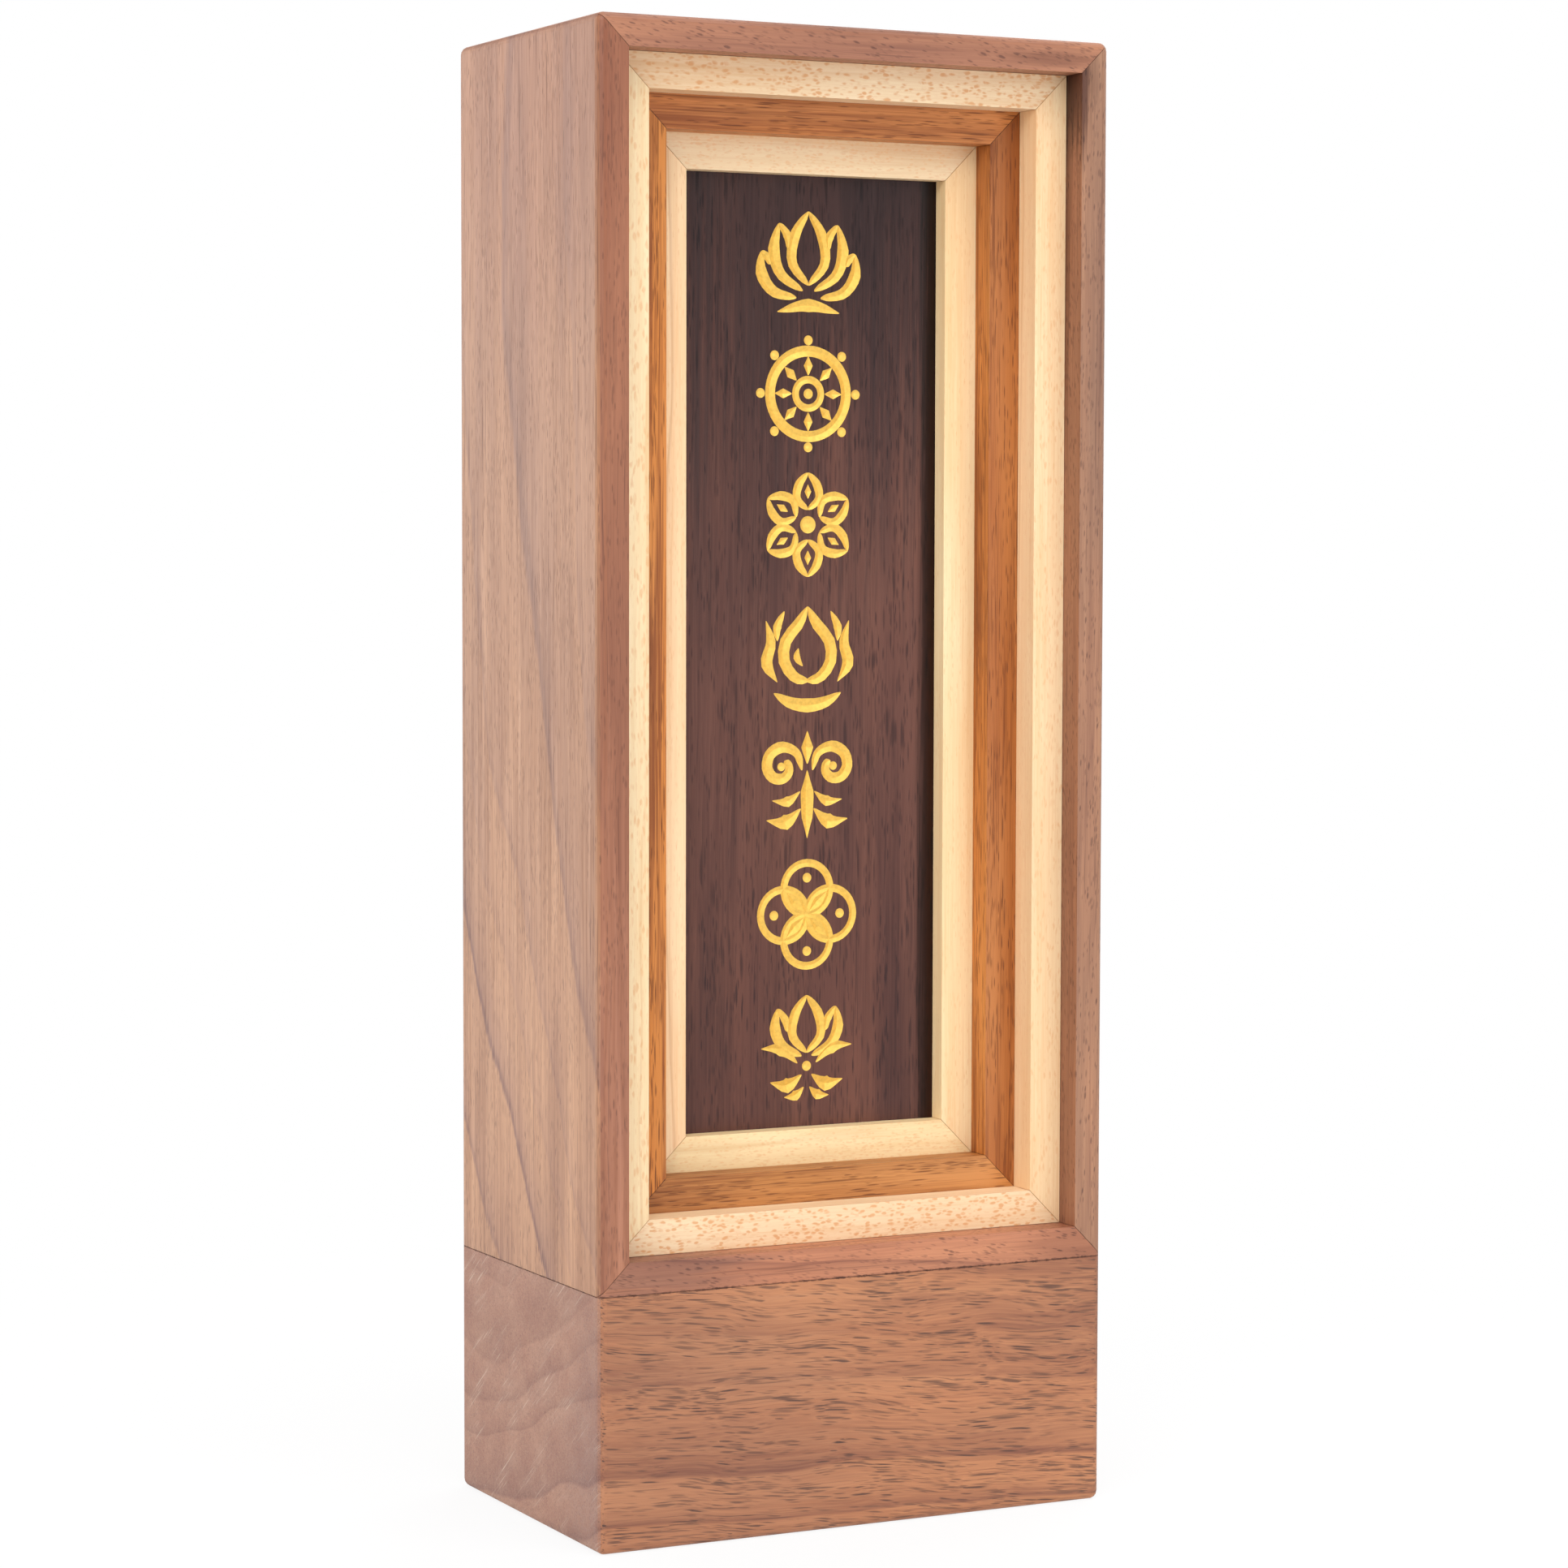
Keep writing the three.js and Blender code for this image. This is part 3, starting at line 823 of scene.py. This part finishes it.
def carved_board(sizes, board_wood, gilt):
    """The dark board with its column of gilt ornaments cut into the front face."""
    low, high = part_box("dark_board")
    middle = (low + high) / 2
    blank, cutter = bmesh.new(), bmesh.new()
    fitted = Matrix.Translation(middle) @ Matrix.Diagonal((*(high - low), 1))
    bmesh.ops.create_cube(blank, size=1, matrix=fitted)
    board = new_piece("carved_board", blank, (board_wood, gilt))
    for i, ornament in enumerate(ORNAMENTS):
        z = middle.z + ((len(ORNAMENTS) - 1) / 2 - i) * sizes.ornament_pitch
        strokes, hoops, dots = ornament()
        for rows in strokes:
            add_stroke_cutter(cutter, rows, (middle.x, z), low.y, sizes)
        for rows in hoops:
            add_stroke_cutter(cutter, rows, (middle.x, z), low.y, sizes, closed=True)
        for dot_x, dot_z, radius in dots:
            add_dot_cutter(cutter, middle.x + dot_x * MM, z + dot_z * MM, radius * MM, low.y, sizes)
    bmesh.ops.recalc_face_normals(cutter, faces=cutter.faces)
    for face in cutter.faces:
        face.material_index = 1
    tool = new_piece("ornament_cutters", cutter, (board_wood, gilt))
    cut = board.modifiers.new("carving", "BOOLEAN")
    cut.operation = "DIFFERENCE"
    cut.solver = "EXACT"
    cut.use_self = True
    cut.object = tool
    bpy.context.view_layer.update()
    carved = bpy.data.meshes.new_from_object(board.evaluated_get(bpy.context.evaluated_depsgraph_get()))
    board.modifiers.clear()
    board.data = carved
    carved.name = "carved_board"
    bpy.data.objects.remove(tool)
    if len(carved.polygons) < FEWEST_CARVED_FACES:
        raise RuntimeError("the ornaments were not cut into the board")
    smooth_by_angle(board, CARVING_ANGLE)
    return board


class TABLET_OT_stage(bpy.types.Operator):
    """Camera, soft lights, white background and pale floor"""

    bl_idname = "tablet.stage"
    bl_label = "Studio"

    def execute(self, context):
        studio = context.scene.tablet_studio
        add_camera(context)
        for name, (place, width, height) in LIGHTS.items():
            add_area_light(f"{name}_light", place, width, height, getattr(studio, f"{name}_power"))
        add_world(context, studio)
        add_floor(studio)
        context.scene.view_settings.view_transform = "Standard"
        return {"FINISHED"}


def add_camera(context):
    yaw, pitch, roll = (math.radians(v) for v in (CAMERA_YAW, CAMERA_PITCH, CAMERA_ROLL))
    turn = Matrix.Rotation(-yaw, 4, "Z") @ Matrix.Rotation(math.pi / 2 + pitch, 4, "X")
    camera = placed("camera", bpy.data.cameras.new("camera"))
    camera.matrix_world = Matrix.Translation(CAMERA_PLACE) @ turn @ Matrix.Rotation(roll, 4, "Z")
    camera.data.sensor_fit = "HORIZONTAL"
    camera.data.sensor_width = SENSOR_WIDTH
    camera.data.lens = SENSOR_WIDTH * FOCAL_PIXELS / PHOTO_SIZE
    camera.data.shift_x = (PHOTO_SIZE / 2 - CENTRE_PIXEL[0]) / PHOTO_SIZE
    camera.data.shift_y = (CENTRE_PIXEL[1] - PHOTO_SIZE / 2) / PHOTO_SIZE
    camera.data.clip_start = NEAREST_SEEN
    context.scene.camera = camera


def add_area_light(name, place, width, height, power):
    """A soft rectangular light aimed at the middle of the object."""
    light = bpy.data.lights.new(name, "AREA")
    light.shape = "RECTANGLE"
    light.size, light.size_y = width, height
    light.energy = power
    lamp = placed(name, light)
    aim = Vector(LIGHT_AIM) - Vector(place)
    lamp.matrix_world = Matrix.Translation(place) @ aim.to_track_quat("-Z", "Y").to_matrix().to_4x4()
    lamp.visible_camera = False


def seen_rays(sheet):
    """One for what the camera, gloss and glass see, nought for the light on the object."""
    path = sheet.add("LightPath")
    seen = sheet.math("MAXIMUM", path["Is Camera Ray"], path["Is Transmission Ray"])
    return sheet.math("MAXIMUM", seen, path["Is Glossy Ray"])


def add_world(context, studio):
    """Even light for the object, and pure white behind it for the camera and for gloss."""
    context.scene.world = bpy.data.worlds.new("studio")
    sheet = NodeSheet(context.scene.world)
    sheet.tree.nodes.clear()
    light = sheet.add("Background", {"Color": WHITE, "Strength": studio.world_strength})
    white = sheet.add("Background", {"Color": WHITE, "Strength": 1})
    mix = sheet.add("MixShader", {0: seen_rays(sheet), 1: light[0], 2: white[0]})
    sheet.add("OutputWorld", {"Surface": mix[0]})


def add_floor(studio):
    """A pale floor that shows the object's soft shadow and fades to white away from it."""
    mesh = bmesh.new()
    bmesh.ops.create_grid(mesh, x_segments=8, y_segments=8, size=studio.floor_size / 2)
    sheet = NodeSheet(bpy.data.materials.new("pale_floor"))
    place = sheet.add("TexCoord")["Object"]
    far = sheet.ranged(sheet.length(place), *FLOOR_FADE, FLOOR_WHITE, 1)
    grain = sheet.noise(place, (40, 40, 40), detail=3)
    pale = sheet.mixed(grain, *FLOOR_TONES)
    sheet.shade({"Base Color": pale, "Roughness": 0.8, "Specular IOR Level": 0.1})
    white = sheet.add("Emission", {"Color": WHITE, "Strength": 1})
    mix = sheet.add("MixShader", {
        0: sheet.product(far, seen_rays(sheet)), 1: sheet.shader.outputs[0], 2: white[0],
    })
    sheet.feed(sheet.tree.nodes["Material Output"].inputs["Surface"], mix[0])
    floor = new_piece("floor", mesh, (sheet.owner,))


def palette(woods, wood_name):
    """The four colours of one wood."""
    return tuple(tuple(getattr(woods, f"{wood_name}_{part}")) for part in WOOD_PARTS)


def shaded(colours, share):
    """The same colours, with red, green and blue each multiplied by a share."""
    return tuple(tuple(min(part * by, 1) for part, by in zip(colour, share)) for colour in colours)


def outline_of(pattern):
    """Lowest and highest corner of a mitred frame of four pieces."""
    boxes = [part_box(pattern.format(side)) for side in SIDES]
    low = Vector(min(box[0][i] for box in boxes) for i in range(3))
    high = Vector(max(box[1][i] for box in boxes) for i in range(3))
    return low, high


# Half width of a glue line, in mm
JOINT_WIDTH = 0.05

# The boards of the case: kind of wood, share of red, green and blue, which paints each board
# lighter or darker for the light that falls on it as well as giving its own tone, and the rest as in
# wood
CASE_BOARDS = {
    "left": (WALNUT, (0.75, 0.735, 0.705), dict(
        # Painted light and sheen: the outer side made paler and greyer than the front
        grain="Z", seed=2, pith=(90, -161), sweep=(-0.78, 0.0023), painted_side_light=(1.43, 1.83, 1.78),
        # Patches: the side lighter and bluer low down, and darker at the top
        painted_shade_and_tone_patches=(((-35.5, 0, 48), (8, 40, 52), (1.14, 1.24, 1.4), 1),
                ((-35.5, 0, 190), (8, 40, 52), (0.87, 0.78, 0.77), 1)),
    )),
    "right": (WALNUT_EDGE, (0.96, 1.17, 1.19), dict(
        grain="Z", seed=5, slant=(4, -4), pith=(-40, 70), sweep=(0.05, 0),
        # Painted shade: the faces that look sideways, the inner wall among them, made darker and redder
        painted_side_light=(0.93, 0.8, 0.73),
        # Painted shadow at the top of the inner wall, and along its back part next to the frames
        painted_shade_and_tone_patches=(((31.5, -18, 182), (2.4, 16, 11), (0.27, 0.2, 0.19), 1),
                ((31.5, -17.6, 178), (1.5, 2.6, 62), (0.34, 0.26, 0.22), 0.85)),
    )),
    "top": (WALNUT_EDGE, (0.98, 1.07, 1.08), dict(
        grain="X", seed=7, slant=(0, -14), pith=(120, 60), sweep=(0.1, 0),
        # Patches: darker along the top edge of the front, most at the right
        painted_shade_and_tone_patches=(((27, -22, 184.5), (9, 9, 1.2), (0.42, 0.34, 0.34), 0.55),
                ((0, -22, 187), (18, 8, 1.2), (0.42, 0.34, 0.34), 0.4)),
    )),
    "bottom": (WALNUT_EDGE, (1.17, 1.23, 1.17), dict(
        grain="X", seed=12, slant=(0, -14), pith=(-30, 50), sweep=(0.1, 0),
        # Patches: darker at the left of the front, and a painted shadow at its right end
        painted_shade_and_tone_patches=(((-29, -22, 34.5), (17, 12, 6), (0.52, 0.54, 0.66), 0.9),
                ((34, -22, 35), (13, 9, 8), (0.62, 0.58, 0.6), 0.9)),
    )),
}
BASE_LOOK = dict(
    grain="X", seed=9, lean=(0, -3), slant=(0, -6), pith=(84, 18),
    scuffs=((0.62, 0.48, 0.38), 0.7),
    # Patch: the left of the front darker and slightly bluer
    painted_shade_and_tone_patches=(((-22, -22, 12), (30, 12, 26), (0.86, 0.89, 0.97), 1),),
)


def settings(context):
    return context.scene.tablet_woods, context.scene.tablet_sizes


class TABLET_OT_case(bpy.types.Operator):
    """Walnut case boards and base block"""

    bl_idname = "tablet.case"
    bl_label = "Case and base"

    def execute(self, context):
        woods, sizes = settings(context)
        walnut, dark = palette(woods, "walnut"), tuple(woods.joint_dark)
        outline = outline_of("case_{}_board")
        seam = outline[0].z / MM
        for side, (kind, share, look) in CASE_BOARDS.items():
            name = f"case_{side}_board"
            joints = (dark, outline, seam, JOINT_WIDTH)
            material = wood(f"walnut_{name}", kind, shaded(walnut, share), joints=joints, **look)
            finish_node(name, material, sizes.edge_ease)
        joints = (dark, None, seam, JOINT_WIDTH)
        base = wood("walnut_base", WALNUT_BLOCK, palette(woods, "block"), joints=joints, **BASE_LOOK)
        finish_node("base_block", base, sizes.fine_ease)
        return {"FINISHED"}


# Painted light and shade: how much lighter or darker each bar's wood is made for the light that falls
# on it, with some change of hue, for red, green and blue: front, middle and inner frame
FRAME_PAINTED_LIGHT = {
    "left": ((1, 1.02, 1.04), (1.07, 0.99, 0.69), (1, 0.92, 0.89)),
    "right": ((0.96, 0.91, 0.9), (0.8, 0.69, 0.58), (0.95, 0.9, 0.85)),
    "top": ((0.9, 0.87, 0.9), (1.01, 0.93, 0.8), (0.9, 0.87, 0.88)),
    "bottom": ((0.95, 0.93, 0.97), (0.95, 0.96, 0.89), (0.95, 0.94, 0.87)),
}
# Ray flecks of the front and of the inner frame, as in wood but for their colour
FRONT_FLECKS = {
    "left": (0.42, 1.3, 0.8, 0.45), "right": (0.38, 1.2, 0.6, 0.35),
    "top": (0.5, 1.05, 1.25, 0.8), "bottom": (0.4, 0.85, 1.15, 0.78),
}
INNER_FLECKS = {"Z": (0.4, 1.4, 0.4, 0.22), "X": (0.36, 0.75, 1, 0.34)}
# What some bars of the middle and of the inner frame have besides, as in wood: painted light on the
# faces that look sideways, and on the middle frame's right bar a painted shadow at the top
MIDDLE_LOOKS = {"right": dict(
    painted_side_light=(1.38, 1.5, 1.35), painted_shade_and_tone_patches=(((0, 0, 190), (80, 60, 44), (0.66, 0.58, 0.52), 0.9),),
)}
INNER_LOOKS = {"right": dict(painted_side_light=(1.06, 1.12, 1.14))}
# The first seeds of the bars
FRONT_SEED, MIDDLE_SEED, INNER_SEED, LINER_SEED = 20, 30, 40, 50


class TABLET_OT_frames(bpy.types.Operator):
    """Three stepped frames inside the case"""

    bl_idname = "tablet.frames"
    bl_label = "Stepped frames"

    def execute(self, context):
        woods, sizes = settings(context)
        fleck, pale, dark = (tuple(c) for c in (woods.maple_fleck, woods.joint_pale, woods.joint_dark))
        maple, brown = palette(woods, "maple"), palette(woods, "brown")
        for i, side in enumerate(SIDES):
            # Each bar's colours, and the front frame's flecks, lightened or darkened as painted light
            # and shade
            painted_light_shares = FRAME_PAINTED_LIGHT[side]
            grain, teak = ("Z", TEAK_UPRIGHT) if side in ("left", "right") else ("X", TEAK)
            front_flecks = (*shaded((fleck,), painted_light_shares[0]), *FRONT_FLECKS[side])
            inner_look = dict(INNER_LOOKS.get(side, {}), flecks=(fleck, *INNER_FLECKS[grain]))
            bars = (
                ("front", "maple_front", MAPLE, maple, FRONT_SEED, pale, dict(flecks=front_flecks)),
                ("middle", "brown", teak, brown, MIDDLE_SEED, dark, MIDDLE_LOOKS.get(side, {})),
                ("inner", "maple_inner", MAPLE, maple, INNER_SEED, pale, inner_look),
            )
            for share, (part, name, kind, colours, seed, joint, look) in zip(painted_light_shares, bars):
                joints = (joint, outline_of(part + "_frame_{}"), None, JOINT_WIDTH)
                colours = shaded(colours, share)
                bar = wood(f"{name}_{side}", kind, colours, grain, seed + i, joints=joints, **look)
                finish_node(f"{part}_frame_{side}", bar, sizes.fine_ease)
            liner = wood(f"liner_wood_{side}", TEAK, brown, grain, LINER_SEED + i)
            finish_node(f"liner_{side}", liner, sizes.fine_ease)
        return {"FINISHED"}


NAME_BOARD_SEED = 70
BOARD_LOOK = dict(
    grain="Z", seed=61, lean=(0.4, -0.5), pith=(60, 90),
    # Painted shade: the top of the board darker; painted shadow: a dark strip along its right edge
    painted_shade_and_tone_patches=(((0, -7, 180), (60, 60, 62), (0.34, 0.34, 0.42), 1),
            ((17.5, -7, 107), (1.9, 60, 300), (0.16, 0.08, 0.045), 1)),
)


class TABLET_OT_boards(bpy.types.Operator):
    """Carved dark board and the plain name boards behind it"""

    bl_idname = "tablet.boards"
    bl_label = "Boards"

    def execute(self, context):
        woods, sizes = settings(context)
        dark = wood("dark_board_wood", DARK_WOOD, palette(woods, "board"), **BOARD_LOOK)
        board = carved_board(sizes, dark, gilding(woods.gilt))
        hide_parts("dark_board")
        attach(board, "front_board")
        plain = palette(woods, "plain")
        for i, name in enumerate(NAME_BOARDS):
            pith = (30 + 7 * i, 60)
            material = wood(f"plain_{name}", PLAIN, plain, "Z", NAME_BOARD_SEED + i, pith=pith)
            finish_node(name, material, sizes.fine_ease)
        return {"FINISHED"}


PANEL_SHARE = (0.96, 1.12, 1.12)
PANEL_LOOK = dict(grain="Z", seed=80, pith=(6, 52), sweep=(-0.17, 0))
DOWEL_SEED = 90


class TABLET_OT_back(bpy.types.Operator):
    """Lift-out back panel, its magnets and the hidden dowels"""

    bl_idname = "tablet.back"
    bl_label = "Back panel and fasteners"

    def execute(self, context):
        woods, sizes = settings(context)
        walnut = shaded(palette(woods, "walnut"), PANEL_SHARE)
        panel = wood("walnut_back_panel", WALNUT_PANEL, walnut, **PANEL_LOOK)
        finish_node("back_panel", panel, sizes.edge_ease)
        nickel = plating(woods.nickel)
        for name in MAGNETS:
            finish_node(name, nickel, MAGNET_EASE)
        beech = wood("beech_dowel", PLAIN, palette(woods, "plain"), "Z", DOWEL_SEED)
        for name in DOWELS:
            finish_node(name, beech, DOWEL_EASE)
        return {"FINISHED"}


class TABLET_PT_panel(bpy.types.Panel):
    """Lists the steps that dress the tablet"""

    bl_idname = "TABLET_PT_panel"
    bl_label = "Memorial tablet"
    bl_space_type = "VIEW_3D"
    bl_region_type = "UI"
    bl_category = "Tablet"

    def draw(self, context):
        for name, cls in GROUPS.items():
            column = self.layout.column(align=True)
            for key in cls.__annotations__:
                column.prop(getattr(context.scene, name), key)
        for step in STEPS:
            self.layout.operator(step.bl_idname)


STEPS = (TABLET_OT_stage, TABLET_OT_case, TABLET_OT_frames, TABLET_OT_boards, TABLET_OT_back)
GROUPS = {"tablet_woods": TabletWoods, "tablet_sizes": TabletSizes, "tablet_studio": TabletStudio}
CLASSES = (*GROUPS.values(), *STEPS, TABLET_PT_panel)


def register():
    for cls in CLASSES:
        bpy.utils.register_class(cls)
    for name, group in GROUPS.items():
        setattr(bpy.types.Scene, name, bpy.props.PointerProperty(type=group))


def unregister():
    for name in GROUPS:
        delattr(bpy.types.Scene, name)
    for cls in reversed(CLASSES):
        bpy.utils.unregister_class(cls)


def main():
    register()
    bpy.ops.tablet.stage()
    bpy.ops.tablet.case()
    bpy.ops.tablet.frames()
    bpy.ops.tablet.boards()
    bpy.ops.tablet.back()
    bpy.context.view_layer.update()


if __name__ == "__main__":
    main()
